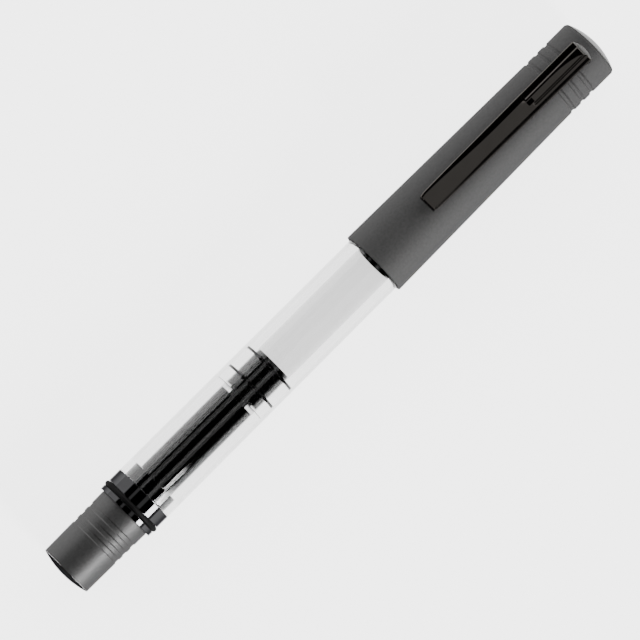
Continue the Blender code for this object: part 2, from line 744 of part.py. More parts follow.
def make_inner_cap():
    """The liner, with a hollow boss at its closed end for the finial's stud."""
    end_wall = INNER_CAP_END - INNER_CAP_WALL
    outline = [
        (BOSS_END, BOSS_RADIUS),
        (INNER_CAP_END, BOSS_RADIUS),
        (INNER_CAP_END, INNER_CAP_RADIUS),
        (INNER_CAP_BACK, INNER_CAP_RADIUS),
        (INNER_CAP_BACK, INNER_CAP_WIDE_BORE),
        (INNER_CAP_STEP, INNER_CAP_WIDE_BORE),
        (INNER_CAP_STEP, INNER_CAP_BORE),
        (end_wall, INNER_CAP_BORE),
        (end_wall, 0.0),
    ]
    socket = [
        (STUD_BACK - FIT_GAP, 0.0),
        (STUD_BACK - FIT_GAP, STUD_RADIUS + FIT_GAP),
        (BOSS_END, STUD_RADIUS + FIT_GAP),
    ]
    return turned("inner_cap", socket + outline, LINER_GREY, FINE_STEPS, closed=False)


def make_cap_finial():
    outline = dome(FINIAL_FACE + 0.1 * MM, FINIAL_RADIUS, LENGTH - FINIAL_FACE - 0.1 * MM, True)
    outline += [
        (FINIAL_FACE, FINIAL_RADIUS),
        (FINIAL_FACE, STUD_RADIUS),
        (STUD_BACK, STUD_RADIUS),
        (STUD_BACK, 0.0),
    ]
    return turned("cap_finial", outline, CAP_GREY, FINE_STEPS, closed=False)


def make_clip():
    """A folded sheet: low at its tip, highest at the knee, and turned down into the slot."""
    bend_start = CLIP_ROOT - CLIP_BEND
    rows = [(CLIP_TIP + ahead, height, wall) for ahead, height, wall in CLIP_TIP_ROWS]
    straight = 8
    for i in range(straight):
        along = i / (straight - 1)
        height = CLIP_KNEE_HEIGHT + along * (CLIP_ROOT_HEIGHT - CLIP_KNEE_HEIGHT)
        rows.append((CLIP_KNEE + along * (bend_start - CLIP_KNEE), height, CLIP_WALL_DEPTH))
    for degrees in (30, 60, 90):
        turn = math.radians(degrees)
        drop = CLIP_BEND * (1 - math.cos(turn))
        station = bend_start + CLIP_BEND * math.sin(turn)
        rows.append((station, CLIP_ROOT_HEIGHT - drop, CLIP_BEND_WALL))
    rows.append((CLIP_ROOT, CLIP_TONGUE_HEIGHT, CLIP_TONGUE_WALL))

    sheet = bmesh.new()
    grid = []
    for station, height, wall in rows:
        along = (station - CLIP_TIP) / (CLIP_ROOT - CLIP_TIP)
        widening = CLIP_ROOT_HALF_WIDTH - CLIP_TIP_HALF_WIDTH
        half = CLIP_TIP_HALF_WIDTH + math.sqrt(along) * widening
        shoulder = min(CLIP_SHOULDER, wall * 0.7)
        row = []
        for share, drop in CLIP_SECTION:
            row.append(sheet.verts.new((station, half * share, height - shoulder * drop)))
        row.append(sheet.verts.new((station, half, height - wall)))
        grid.append(row)
    for back, front in zip(grid, grid[1:]):
        for k in range(len(back) - 1):
            sheet.faces.new((back[k], front[k], front[k + 1], back[k + 1]))
    return sheet_object("clip", sheet, CLIP_SHEET, CLIP_BLACK)


make_knob()
make_knob_finial()
make_knob_screw()
make_drive_screw()
make_thrust_washer()
make_collar()
oring("posting_oring", ORING_STATION, ORING_OUTER_RADIUS, ORING_SECTION_RADIUS, FINE_STEPS)
make_retaining_ring()
make_sleeve()
make_rod_guide()
make_barrel()
make_piston_rod()
make_piston_head()
for seal_name, seal_station in SEAL_STATIONS.items():
    make_seal(seal_name, seal_station)
make_section_ring()
make_section()
oring("section_oring", 82.3 * MM, FRONT_SOCKET_RADIUS - FIT_GAP, 0.4 * MM, COARSE_STEPS)
make_housing()
make_feed()
make_nib()
make_cap()
make_inner_cap()
make_cap_finial()
make_clip()
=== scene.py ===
import math

import bmesh
import bpy
from mathutils import Matrix, Vector


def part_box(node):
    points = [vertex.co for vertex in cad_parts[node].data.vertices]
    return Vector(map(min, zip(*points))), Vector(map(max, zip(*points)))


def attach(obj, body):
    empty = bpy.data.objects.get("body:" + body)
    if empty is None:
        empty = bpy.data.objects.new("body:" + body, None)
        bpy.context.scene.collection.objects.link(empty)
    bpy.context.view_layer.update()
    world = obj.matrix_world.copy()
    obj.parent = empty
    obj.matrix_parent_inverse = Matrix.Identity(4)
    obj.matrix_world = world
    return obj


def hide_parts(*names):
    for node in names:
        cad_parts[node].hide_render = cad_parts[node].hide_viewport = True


# A piston-filling fountain pen, capped, lying along X with its clip up.
# Stations are distances from the tail end along the pen. Radii and heights are taken from the
# pen's axis. Shapes are written in millimetres and built in metres.

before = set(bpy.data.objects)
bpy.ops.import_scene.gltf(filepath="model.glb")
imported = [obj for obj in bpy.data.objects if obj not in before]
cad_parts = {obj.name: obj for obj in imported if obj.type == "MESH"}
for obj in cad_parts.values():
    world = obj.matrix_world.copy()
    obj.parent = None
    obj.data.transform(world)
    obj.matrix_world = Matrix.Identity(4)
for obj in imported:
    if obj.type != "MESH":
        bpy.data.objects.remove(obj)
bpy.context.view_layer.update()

MM = 0.001
STEPS = 192                 # sides of a turned piece
TAIL_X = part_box("knob_finial")[0][0]
BARREL_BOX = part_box("barrel")
AXIS_Z = (BARREL_BOX[0][2] + BARREL_BOX[1][2]) / 2
SHARP = math.radians(32)


# Materials --------------------------------------------------------------------------------

def node(tree, kind, **settings):
    """A node of that kind; a setting named in_X goes to input X, and the rest are properties."""
    made = tree.nodes.new(kind)
    for key, value in settings.items():
        if key.startswith("in_"):
            made.inputs[key[3:].replace("_", " ")].default_value = value
        else:
            setattr(made, key, value)
    return made


def look(name, colour, roughness, metallic=0.0, grain=0.0, grain_mm=0.16, mottle=0.1,
         patch_mm=3.0, rough_spread=0.04, stretch=(1, 1, 1), **principled):
    """A surface with fine grain as bump, and slow changes of colour and roughness."""
    made = bpy.data.materials.new(name)
    made.use_nodes = True
    tree = made.node_tree
    links = tree.links
    shader = tree.nodes["Principled BSDF"]
    shader.inputs["Metallic"].default_value = metallic
    for key, value in principled.items():
        shader.inputs[key.replace("_", " ")].default_value = value
    where = node(tree, "ShaderNodeTexCoord")
    scaled = node(tree, "ShaderNodeMapping", in_Scale=stretch)
    links.new(where.outputs["Object"], scaled.inputs["Vector"])
    patches = node(tree, "ShaderNodeTexNoise", in_Scale=1 / (patch_mm * MM), in_Detail=3.0)
    links.new(scaled.outputs["Vector"], patches.inputs["Vector"])
    tint = node(tree, "ShaderNodeMapRange", in_From_Min=0.3, in_From_Max=0.7,
                in_To_Min=1 - mottle, in_To_Max=1 + mottle)
    links.new(patches.outputs["Fac"], tint.inputs["Value"])
    paint = node(tree, "ShaderNodeVectorMath", operation="SCALE")
    paint.inputs[0].default_value = colour
    links.new(tint.outputs["Result"], paint.inputs["Scale"])
    links.new(paint.outputs["Vector"], shader.inputs["Base Color"])
    rough = node(tree, "ShaderNodeMapRange", in_From_Min=0.3, in_From_Max=0.7,
                 in_To_Min=max(0.0, roughness - rough_spread), in_To_Max=roughness + rough_spread)
    links.new(patches.outputs["Fac"], rough.inputs["Value"])
    links.new(rough.outputs["Result"], shader.inputs["Roughness"])
    if grain:
        specks = node(tree, "ShaderNodeTexNoise", in_Scale=1 / (grain_mm * MM), in_Detail=2.0)
        links.new(scaled.outputs["Vector"], specks.inputs["Vector"])
        bump = node(tree, "ShaderNodeBump", in_Strength=grain, in_Distance=0.02 * MM)
        links.new(specks.outputs["Fac"], bump.inputs["Height"])
        links.new(bump.outputs["Normal"], shader.inputs["Normal"])
    return made


DARK_EDGE = (0.5, 0.5, 0.5, 1.0)
CAP_GREY = look("matte_grey_metal", (0.055, 0.0545, 0.0545), 0.74, metallic=0.9, grain=0.9,
                grain_mm=0.2, mottle=0.14, patch_mm=0.45, Specular_Tint=DARK_EDGE,
                Specular_IOR_Level=0.0)
# A lighter, glossier copy of the cap's grey for its end disc: painted light on the end that faces
# the lamps.
CAP_END_LIT_GREY = look("matte_grey_end_painted_light", (0.085, 0.0845, 0.084), 0.5, metallic=0.9, grain=0.6,
                    grain_mm=0.13, mottle=0.08, patch_mm=1.2,
                    Specular_Tint=(0.9, 0.9, 0.9, 1.0), Specular_IOR_Level=0.0)
KNOB_GREY = look("satin_grey_metal", (0.046, 0.0457, 0.0457), 0.48, metallic=0.85, grain=0.4,
                 grain_mm=0.16, mottle=0.09, patch_mm=0.45, Specular_Tint=DARK_EDGE,
                 Specular_IOR_Level=0.0)
CHROME = look("black_chrome", (0.03, 0.03, 0.031), 0.04, metallic=1.0, mottle=0.05,
              rough_spread=0.0, Specular_Tint=(0.4, 0.4, 0.4, 1.0))
ACRYLIC = look("clear_acrylic", (0.635, 0.635, 0.635), 0.0, mottle=0.01, rough_spread=0.0,
               patch_mm=8.0, Transmission_Weight=1.0, IOR=1.42)
BLACK = look("gloss_black_plastic", (0.04, 0.04, 0.04), 0.02, metallic=1.0, mottle=0.05,
             rough_spread=0.0, patch_mm=4.0, Specular_Tint=(0.35, 0.35, 0.35, 1.0))
PLUG_BLACK = look("satin_black_plug", (0.046, 0.046, 0.046), 0.03, metallic=0.9, mottle=0.05,
                  rough_spread=0.0, Specular_Tint=DARK_EDGE, Specular_IOR_Level=0.0)
END_BLACK = look("matte_black_plastic", (0.009, 0.009, 0.009), 0.5, grain=0.2, mottle=0.1,
                 Specular_IOR_Level=0.0)
CLIP_BLACK = look("black_enamel", (0.042, 0.039, 0.036), 0.1, metallic=1.0, mottle=0.05,
                  rough_spread=0.02, grain=0.05, grain_mm=0.3,
                  Specular_Tint=(0.5, 0.5, 0.5, 1.0))
# A much lighter grey for the cap slot's bevel: a painted highlight where that bevel catches light.
SLOT_BEVEL_HIGHLIGHT = look("painted_highlight_bevel_grey", (0.3, 0.3, 0.295), 0.45, metallic=0.3, mottle=0.05)
RUBBER = look("black_rubber", (0.008, 0.008, 0.008), 0.6, metallic=0.9, grain=0.4,
              grain_mm=0.1, mottle=0.2, Specular_Tint=DARK_EDGE, Specular_IOR_Level=0.0)
STEEL = look("polished_steel", (0.56, 0.55, 0.53), 0.16, metallic=1.0, grain=0.05,
             grain_mm=0.1, mottle=0.05, stretch=(0.2, 1, 1))
TURNED_STEEL = look("turned_steel", (0.36, 0.35, 0.34), 0.28, metallic=1.0, grain=0.15,
                   mottle=0.08)
LINER = look("grey_liner_plastic", (0.09, 0.09, 0.092), 0.38, grain=0.15, mottle=0.08)
FEED_BLACK = look("black_feed_plastic", (0.012, 0.012, 0.012), 0.42, grain=0.3, mottle=0.15)


# Turned pieces ----------------------------------------------------------------------------

ARC_PARTS = 5               # straight parts of a rounded corner
ARC_LEAD = 0.02             # how far outside an arc its extra points lie


def rounded(points):
    """Turns each corner that gives a third number, its radius, into an arc."""
    out = []
    count = len(points)
    for i, point in enumerate(points):
        if len(point) == 2:
            out.append(point)
            continue
        before, corner, after = (Vector(points[k % count][:2]) for k in (i - 1, i, i + 1))
        one, two = (before - corner).normalized(), (after - corner).normalized()
        half = one.angle(two) / 2
        middle = corner + (one + two).normalized() * point[2] / math.sin(half)
        start = corner + one * point[2] / math.tan(half) - middle
        end = corner + two * point[2] / math.tan(half) - middle
        first = math.atan2(start.y, start.x)
        turn = (math.atan2(end.y, end.x) - first + math.pi) % math.tau - math.pi
        arc = [(middle.x + point[2] * math.cos(first + turn * k / ARC_PARTS),
                middle.y + point[2] * math.sin(first + turn * k / ARC_PARTS))
               for k in range(ARC_PARTS + 1)]
        # A point just outside each end of the arc keeps the long faces' shading straight.
        out.append(tuple(middle + start + one * ARC_LEAD))
        out += arc
        out.append(tuple(middle + end + two * ARC_LEAD))
    return out


def finish(piece, material, body, slot, *nodes):
    """Gives a piece its material, its body and the CAD nodes that it stands for."""
    piece.data.materials.clear()
    piece.data.materials.append(material)
    piece.data.shade_smooth()
    piece.data.set_sharp_from_angle(angle=SHARP)
    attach(piece, body)
    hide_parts(*nodes)
    return piece


def mesh_object(name, bm):
    bmesh.ops.recalc_face_normals(bm, faces=bm.faces)
    mesh = bpy.data.meshes.new(name)
    bm.to_mesh(mesh)
    bm.free()
    piece = bpy.data.objects.new(name, mesh)
    bpy.context.scene.collection.objects.link(piece)
    return piece


def turned(name, outline, closed=True, steps=STEPS, shape=None):
    """Turns an outline of (station, radius) round the axis; shape may change the radius."""
    bm = bmesh.new()
    rings = []
    for station, radius in outline:
        x = TAIL_X + station * MM
        if radius < 1e-6:
            rings.append([bm.verts.new((x, 0.0, AXIS_Z))])
            continue
        ring = []
        for k in range(steps):
            angle = math.tau * k / steps
            r = (shape(station, radius, angle) if shape else radius) * MM
            ring.append(bm.verts.new((x, r * math.sin(angle), AXIS_Z + r * math.cos(angle))))
        rings.append(ring)
    pairs = list(zip(rings, rings[1:]))
    if closed:
        pairs.append((rings[-1], rings[0]))
    for a, b in pairs:
        for i in range(steps):
            j = (i + 1) % steps
            if len(a) == 1:
                bm.faces.new((a[0], b[i], b[j]))
            elif len(b) == 1:
                bm.faces.new((a[i], b[0], a[j]))
            else:
                bm.faces.new((a[i], b[i], b[j], a[j]))
    return mesh_object(name, bm)


def grooves(centres, width, depth, radius_at, slope):
    """Shallow square grooves, from the front one to the rear one."""
    out = []
    for centre in sorted(centres, reverse=True):
        front, back = centre + width / 2, centre - width / 2
        out += [
            (front + slope / 2, radius_at(front)),
            (front - slope / 2, radius_at(front) - depth),
            (back + slope / 2, radius_at(back) - depth),
            (back - slope / 2, radius_at(back)),
        ]
    return out


DOME_PARTS = 14


def dome(face, radius, height, edge, forward):
    """A shallow dome from just inside its rim to the axis."""
    sign = 1 if forward else -1
    ball = (radius ** 2 + height ** 2) / (2 * height)
    out = []
    for k in range(DOME_PARTS + 1):
        r = (radius - edge) * (1 - k / DOME_PARTS)
        out.append((face + sign * (height - ball + math.sqrt(ball ** 2 - r ** 2)), r))
    return out


# Knob group -------------------------------------------------------------------------------

def knob_radius(station):
    return 5.35 + 0.15 * (station - 0.9) / 14.9


knob = turned("knob_shell", rounded(
    [(15.88, 5.5, 0.05)]
    + grooves((8.65, 10.55, 12.5), 0.95, 0.14, knob_radius, 0.2)
    + [(0.9, 5.35, 0.06), (0.9, 4.3), (4.0, 4.3), (4.0, 1.6), (11.0, 1.6), (11.0, 4.2),
       (15.88, 4.2)]))
finish(knob, KNOB_GREY, "knob", "knob_grey", "turning_knob")

knob_end = turned("knob_end_disc", dome(0.82, 5.3, 0.8, 0.02, False)[::-1] + rounded(
    [(0.86, 5.3, 0.01), (0.88, 1.5), (3.9, 1.5), (3.9, 0.0)]), closed=False)
finish(knob_end, END_BLACK, "knob", "gloss_black", "knob_finial")


# Fixed tail pieces ------------------------------------------------------------------------

collar = turned("collar_ring", rounded([
    (23.75, 4.86, 0.08), (20.82, 4.86), (20.82, 6.15, 0.04), (18.08, 6.15, 0.05),
    (18.08, 5.32), (16.92, 5.32), (16.92, 6.15, 0.05), (15.9, 6.15, 0.05), (15.9, 3.3),
    (23.75, 3.3),
]))
finish(collar, CHROME, "pen_body", "black_chrome", "tail_collar")


def ring_outline(centre, radius, section, count=20):
    return [(centre + section * math.cos(math.tau * k / count),
             radius + section * math.sin(math.tau * k / count)) for k in range(count)]


posting_ring = turned("posting_ring", ring_outline(17.5, 5.85, 0.55))
finish(posting_ring, RUBBER, "pen_body", "rubber", "posting_oring")

sleeve = turned("piston_sleeve", rounded([
    (44.6, 3.72, 0.12), (23.87, 3.72), (23.87, 3.2), (17.1, 3.2), (17.1, 2.7), (18.45, 2.7),
    (18.45, 2.1), (42.5, 2.1), (42.5, 3.1), (44.6, 3.1),
]))
finish(sleeve, BLACK, "pen_body", "gloss_black", "guide_sleeve")

barrel = turned("barrel_tube", rounded([
    (90.0, 6.0, 0.12), (20.9, 6.12, 0.1), (20.9, 4.9), (23.85, 4.9), (23.85, 3.85),
    (81.6, 3.85), (81.6, 4.8), (90.0, 4.8),
]), steps=256)
finish(barrel, ACRYLIC, "pen_body", "clear_acrylic", "barrel")


# Piston -----------------------------------------------------------------------------------

def with_flats(station, radius, angle):
    return min(radius, 1.7 / max(1e-6, abs(math.cos(angle)))) if radius > 1.5 else radius


rod = turned("piston_stem", rounded(
    [(50.0, 1.95), (18.8, 1.95), (18.8, 1.35), (50.0, 1.35)]), shape=with_flats)
finish(rod, BLACK, "piston", "gloss_black", "piston_rod")

head = turned("piston_plug", rounded([
    (54.2, 0.0), (54.2, 3.6, 0.12), (53.55, 3.68), (53.5, 3.0), (52.7, 3.0), (52.65, 3.68),
    (48.85, 3.68), (48.8, 3.0), (48.0, 3.0), (47.95, 3.68), (45.9, 3.68, 0.1), (45.9, 2.6),
    (45.5, 2.6), (45.49, 3.857), (45.4, 3.857), (45.4, 2.05),
    (50.1, 2.05), (50.1, 0.0),
]), closed=False)
finish(head, PLUG_BLACK, "piston", "gloss_black", "piston_head")

for seal_name, centre in (("piston_seal_rear", 48.4), ("piston_seal_front", 53.1)):
    seal = turned(seal_name + "_lip", rounded([
        (centre + 0.38, 3.6), (centre + 0.24, 3.866), (centre - 0.24, 3.866),
        (centre - 0.38, 3.6), (centre - 0.38, 3.02), (centre + 0.38, 3.02)]))
    finish(seal, RUBBER, "piston", "rubber", seal_name)


# Writing end ------------------------------------------------------------------------------

ring = turned("barrel_front_ring", rounded([
    (91.6, 6.0, 0.12), (90.1, 6.0, 0.12), (90.1, 4.82), (91.6, 4.82)]))
finish(ring, CHROME, "pen_body", "black_chrome", "section_ring")


def section_outline():
    """The grip narrows to a waist and flares at its lip; its spigot carries a thread."""
    out = [(110.0, 4.35), (109.93, 4.6), (109.75, 4.82), (109.45, 4.93)]
    for k in range(25):
        along = k / 24
        station = 109.2 - along * (109.2 - 91.95)
        flare = (2 * along - 0.7) ** 2 / 1.69
        out.append((station, 4.7 + flare * 0.45))
    out += [(91.85, 5.13), (91.7, 5.0), (91.7, 4.68)]
    for k in range(8):
        crest = 90.0 - 0.8 * k
        out += [(crest, 4.68), (crest - 0.18, 4.68), (crest - 0.42, 4.44), (crest - 0.56, 4.44)]
    out += [(83.4, 4.68), (83.0, 4.5), (83.0, 1.5), (89.9, 1.5), (89.9, 3.7), (110.0, 3.7)]
    return out


section = turned("grip", section_outline())
finish(section, BLACK, "pen_body", "gloss_black", "grip_section")

small_ring = turned("section_seal", ring_outline(82.3, 4.3, 0.4), steps=128)
finish(small_ring, RUBBER, "pen_body", "rubber", "section_oring")


def feed_outline():
    """A tapered bar with a comb of fins under the nib."""
    def radius_at(station):
        along = max(0.0, (station - 113.0) / 9.0)
        return 2.45 - along * 1.65

    out = [(122.0, 0.0), (122.0, radius_at(122.0) * 0.8)]
    for k in reversed(range(10)):
        low = 110.75 + 1.0 * k
        high = low + 0.4
        depth = 0.7 * radius_at(low) / 2.45
        out += [(high, radius_at(high)), (high, radius_at(high) - depth),
                (low, radius_at(low) - depth), (low, radius_at(low))]
    return out + [(92.05, 2.45), (92.0, 2.3), (92.0, 0.0)]


feed = turned("ink_feed", feed_outline(), closed=False, steps=96)
finish(feed, FEED_BLACK, "pen_body", "feed_black", "feed")


def nib_half_width(station):
    shank = 3.0 * math.radians(72)
    if station <= 113.0:
        return shank
    along = (station - 113.0) / 14.5
    swell = 0.35 * math.sin(math.pi * min(1.0, along * 3.0))
    return 0.4 + (shank - 0.4) * (1 - along) ** 1.25 + swell


def nib_inner_edge(station):
    reach = 0.6 ** 2 - (station - 117.0) ** 2
    hole = math.sqrt(reach) if reach > 0 else 0.0
    return max(hole, 0.03 if station > 117.0 else 0.0)


def sheet(name, grid, thickness, material, body, slot, cad_node):
    """Half of a sheet, mirrored across the pen's middle plane and given its thickness."""
    bm = bmesh.new()
    rows = [[bm.verts.new((TAIL_X + x * MM, y * MM, AXIS_Z + z * MM)) for x, y, z in row]
            for row in grid]
    for back, front in zip(rows, rows[1:]):
        for k in range(len(back) - 1):
            bm.faces.new((back[k], front[k], front[k + 1], back[k + 1]))
    piece = mesh_object(name, bm)
    if sum(p.normal.z for p in piece.data.polygons) < 0:
        piece.data.flip_normals()
    finish(piece, material, body, slot, cad_node)
    mirror = piece.modifiers.new("other_half", "MIRROR")
    mirror.use_axis = (False, True, False)
    mirror.merge_threshold = 0.00001
    shell = piece.modifiers.new("sheet", "SOLIDIFY")
    shell.thickness = thickness * MM
    shell.offset = -1.0
    return piece


def nib_grid():
    stations = [101.0 + k for k in range(12)]
    stations += [113.0 + 0.4 * k for k in range(8)]
    stations += [117.0 + 0.6 * math.sin(math.radians(15 * k)) for k in range(-6, 7)]
    stations += [118.0 + 0.5 * k for k in range(19)] + [127.5]
    grid = []
    for station in stations:
        along = max(0.0, (station - 113.0) / 14.5)
        radius = 3.0 - along * 1.7
        top = 3.0 - along * 1.5
        inner, outer = nib_inner_edge(station), nib_half_width(station)
        row = []
        for k in range(15):
            angle = (inner + (outer - inner) * k / 14) / radius
            row.append((station, radius * math.sin(angle), top - radius + radius * math.cos(angle)))
        grid.append(row)
    return grid


sheet("nib_sheet", nib_grid(), 0.28, STEEL, "pen_body", "steel", "nib")


# Cap group --------------------------------------------------------------------------------

def cap_radius(station):
    if station > 125.0:
        return 6.15
    return 6.73 + (6.15 - 6.73) * (station - 80.1) / 44.9


cap = turned("cap_tube", rounded(
    [(136.1, 6.15, 0.25)]
    + grooves((125.95, 128.4, 130.75), 0.8, 0.22, cap_radius, 0.3)
    + [(125.0, 6.15), (80.1, 6.73, 0.14), (80.1, 6.13), (92.0, 6.13), (92.0, 5.72),
       (131.5, 5.72), (131.5, 3.05), (136.1, 3.05)]), steps=256)

SLOT_HALF = 2.45
slot_side = [(133.1, 4.3), (133.5, 4.3), (133.5, 5.15), (134.95, 6.3), (135.75, 7.6),
             (133.1, 7.6)]
cutter_mesh = bmesh.new()
near, far = ([cutter_mesh.verts.new((TAIL_X + s * MM, side * MM, AXIS_Z + z * MM))
              for s, z in slot_side] for side in (-SLOT_HALF, SLOT_HALF))
cutter_mesh.faces.new(near)
cutter_mesh.faces.new(far[::-1])
for k in range(len(near)):
    j = (k + 1) % len(near)
    cutter_mesh.faces.new((near[j], near[k], far[k], far[j]))
cutter = mesh_object("slot_cutter", cutter_mesh)
cut = cap.modifiers.new("slot", "BOOLEAN")
cut.object = cutter
cut.operation = "DIFFERENCE"
cut.solver = "EXACT"
bpy.context.view_layer.update()
cut_cap = cap.evaluated_get(bpy.context.evaluated_depsgraph_get())
cut_mesh = bpy.data.meshes.new_from_object(cut_cap)
cap.modifiers.clear()
cap.data = cut_mesh
bpy.data.objects.remove(cutter)
finish(cap, CAP_GREY, "cap", "cap_grey", "cap_shell")
cap.data.materials.append(SLOT_BEVEL_HIGHLIGHT)    # on the slot's bevel, which faces the tail; its lighter grey is a painted highlight
for face in cap.data.polygons:
    station = (face.center.x - TAIL_X) / MM
    inside = abs(face.center.y) < (SLOT_HALF + 0.25) * MM
    if 133.45 < station < 135.1 and inside and face.normal.x < -0.3:
        face.material_index = 1

liner = turned("cap_liner", rounded([
    (131.9, 0.0), (131.9, 1.5), (135.0, 1.5), (135.0, 2.9, 0.1), (131.3, 2.9), (131.3, 5.6),
    (92.3, 5.6, 0.05), (92.3, 5.3), (111.0, 5.3), (111.0, 4.8), (130.1, 4.8), (130.1, 0.0),
]), closed=False)
finish(liner, LINER, "cap", "liner_grey", "inner_cap")

# The end disc takes the lighter copy of the cap's grey, which is painted light.
cap_end = turned("cap_end_disc", dome(136.3, 6.0, 1.38, 0.12, True)[::-1] + rounded(
    [(136.3, 6.0, 0.04), (136.18, 6.0), (136.18, 1.4), (132.0, 1.4), (132.0, 0.0)]),
    closed=False)
finish(cap_end, CAP_END_LIT_GREY, "cap", "cap_grey", "cap_finial")


# Clip -------------------------------------------------------------------------------------

CLIP_TIP, CLIP_ROOT = 93.9, 134.3
CLIP_NOSE = 0.25             # length of the rounded tip
CLIP_BEND = 0.12             # radius of the fold into the slot
CLIP_TONGUE = 1.5            # how far the root reaches down below the fold
CLIP_FOOT = 6.0              # lowest height of the root's end
CLIP_ARC, CLIP_ZIGZAG = 0.35, 0.32    # depth of the root end's curve and of its notches
WINDOW = (119.9, 121.22)     # the sunk window, along the clip
WINDOW_SIDES = (-0.51, 0.35)
BEND_START = CLIP_ROOT - CLIP_BEND
SHEET = 0.42
EDGE_ROUND = 0.22
DARK_SLOPE = math.tan(math.radians(14))
LINE_SLOPE = math.tan(math.radians(25))
FAR_SLOPE = math.tan(math.radians(29.5))


def smooth(low, high, value):
    t = min(1.0, max(0.0, (value - low) / (high - low)))
    return t * t * (3 - 2 * t)


def clip_line(station):
    """Height of the clip's middle line, and depth of its side walls."""
    nose = min(1.0, max(0.0, (station - CLIP_TIP) / CLIP_NOSE))
    along = (station - CLIP_TIP) / (BEND_START - CLIP_TIP)
    height = 8.98 - 1.5 * along - 1.3 * (1 - math.sqrt(1 - (1 - nose) ** 2))
    return height, 0.8 + 0.65 * smooth(0.0, 4.0, station - CLIP_TIP)


def clip_half(station):
    along = max(0.0, (station - CLIP_TIP) / (CLIP_ROOT - CLIP_TIP))
    return 1.92 + 0.48 * math.sqrt(along) - 0.2 * (1 - smooth(0.0, 0.6, station - CLIP_TIP))


def clip_section(station):
    """Points (y, z below the middle line) across the top, from +Y to -Y.

    Each shoulder is a plane. Near the root the +Y one is cut by a bright line, and a sunk panel
    with a curved end and two scored lines lies in the middle.
    """
    half = clip_half(station)
    flat = half - EDGE_ROUND
    inside = smooth(118.5, 121.3, station)
    shine = smooth(119.4, 120.6, station)
    scored = smooth(120.2, 121.2, station)
    wide = min(0.2 + 0.85 * smooth(90.5, 114.0, station), flat)
    line = flat - wide
    panel_end = max(0.0, (station - 125.6) / 8.0)
    panel = 0.5 - 1.05 * panel_end ** 2.6
    far = -(flat - 0.15 - 0.35 * smooth(95.0, 112.0, station))
    line_in = line - 0.22
    slopes = [  # y where the stretch ends, slope of the stretch
        (line, DARK_SLOPE), (line_in, LINE_SLOPE * shine),
        (min(panel, line_in), DARK_SLOPE * inside), (0.36, 0.0), (0.34, 0.0), (-0.5, 0.0),
        (-0.52, 0.0), (-0.64, 0.0),
        (-0.86, DARK_SLOPE * scored), (-0.99, -DARK_SLOPE * 1.7 * scored),
        (-1.21, DARK_SLOPE * scored), (-1.34, -DARK_SLOPE * 1.7 * scored), (far, 0.0),
        (-flat, -FAR_SLOPE),
    ]
    points = [(flat, 0.0)]
    for y, slope in slopes:
        y = min(y, points[-1][0] - 0.004)
        points.append((y, points[-1][1] - slope * (points[-1][0] - y)))
    top = min(z for _, z in points)
    points = [(y, z - top) for y, z in points]
    rounds = [math.radians(a) for a in (75, 55, 35, 15)]
    start, end = points[0], points[-1]
    near = [(start[0] + EDGE_ROUND * math.sin(a), start[1] + EDGE_ROUND * (1 - math.cos(a)))
            for a in rounds]
    away = [(end[0] - EDGE_ROUND * math.sin(a), end[1] + EDGE_ROUND * (1 - math.cos(a)))
            for a in reversed(rounds)]
    return half, near + points + away


def clip_mesh():
    """Top and underside of the folded sheet, joined round the edge."""
    stations = [CLIP_TIP + CLIP_NOSE * (1 - math.cos(math.radians(10 * k))) for k in range(10)]
    stations += [95.0 + 1.3 * k for k in range(19)] + [119.3, 119.88, 119.92, 120.1, 120.2]
    stations += [120.3, 120.4, 120.5, 120.6, 120.7, 121.2, 121.24]
    stations += [121.8 + 0.5 * k for k in range(23)]
    stations.append(BEND_START)
    bm = bmesh.new()
    top, under = [], []

    def vert(station, y, z):
        return bm.verts.new((TAIL_X + station * MM, y * MM, AXIS_Z + z * MM))

    for station in stations:
        height, wall = clip_line(station)
        half, section = clip_section(station)
        upper, lower = [vert(station, half, height - wall)], []
        lower.append(vert(station, half - SHEET, height - wall))
        for y, below in section:
            hole = 0.0
            if WINDOW[0] < station < WINDOW[1] and WINDOW_SIDES[0] < y < WINDOW_SIDES[1]:
                hole = SHEET - 0.2 * (station - WINDOW[0])
            upper.append(vert(station, y, height - below - hole))
            lower.append(vert(station, y * (half - SHEET) / half, height - below - SHEET - hole))
        upper.append(vert(station, -half, height - wall))
        lower.append(vert(station, SHEET - half, height - wall))
        top.append(upper)
        under.append(lower)
    # The root folds down into the slot; its end is cut to a shallow zigzag.
    last, last_under = top[-1], under[-1]
    for corner in last + last_under:
        share = min(1.0, abs(corner.co.y) / (2.3 * MM))
        notch = CLIP_ZIGZAG * abs(math.sin(share * 5.5))
        corner.co.x -= (CLIP_ARC * (1 - share) + notch) * MM
    for fall in (CLIP_BEND, CLIP_BEND + CLIP_TONGUE):
        for source, rows, inset in ((last, top, 0.0), (last_under, under, SHEET * 0.7)):
            row = []
            for corner in source:
                z = max(corner.co.z - fall * MM, AXIS_Z + CLIP_FOOT * MM)
                row.append(bm.verts.new((corner.co.x + (CLIP_BEND - inset) * MM, corner.co.y,
                                         min(corner.co.z, z))))
            rows.append(row)
    width = len(top[0])
    for a, b in zip(range(len(top)), range(1, len(top))):
        for k in range(width - 1):
            bm.faces.new((top[a][k], top[b][k], top[b][k + 1], top[a][k + 1]))
            bm.faces.new((under[a][k + 1], under[b][k + 1], under[b][k], under[a][k]))
        bm.faces.new((under[a][0], under[b][0], top[b][0], top[a][0]))
        bm.faces.new((top[a][-1], top[b][-1], under[b][-1], under[a][-1]))
    for row in (0, len(top) - 1):
        for k in range(width - 1):
            bm.faces.new((under[row][k], under[row][k + 1], top[row][k + 1], top[row][k]))
    return bm


clip = mesh_object("pocket_clip", clip_mesh())
finish(clip, CLIP_BLACK, "clip", "clip_black", "clip")
clip.data.set_sharp_from_angle(angle=math.radians(7))


# CAD nodes that stay ----------------------------------------------------------------------

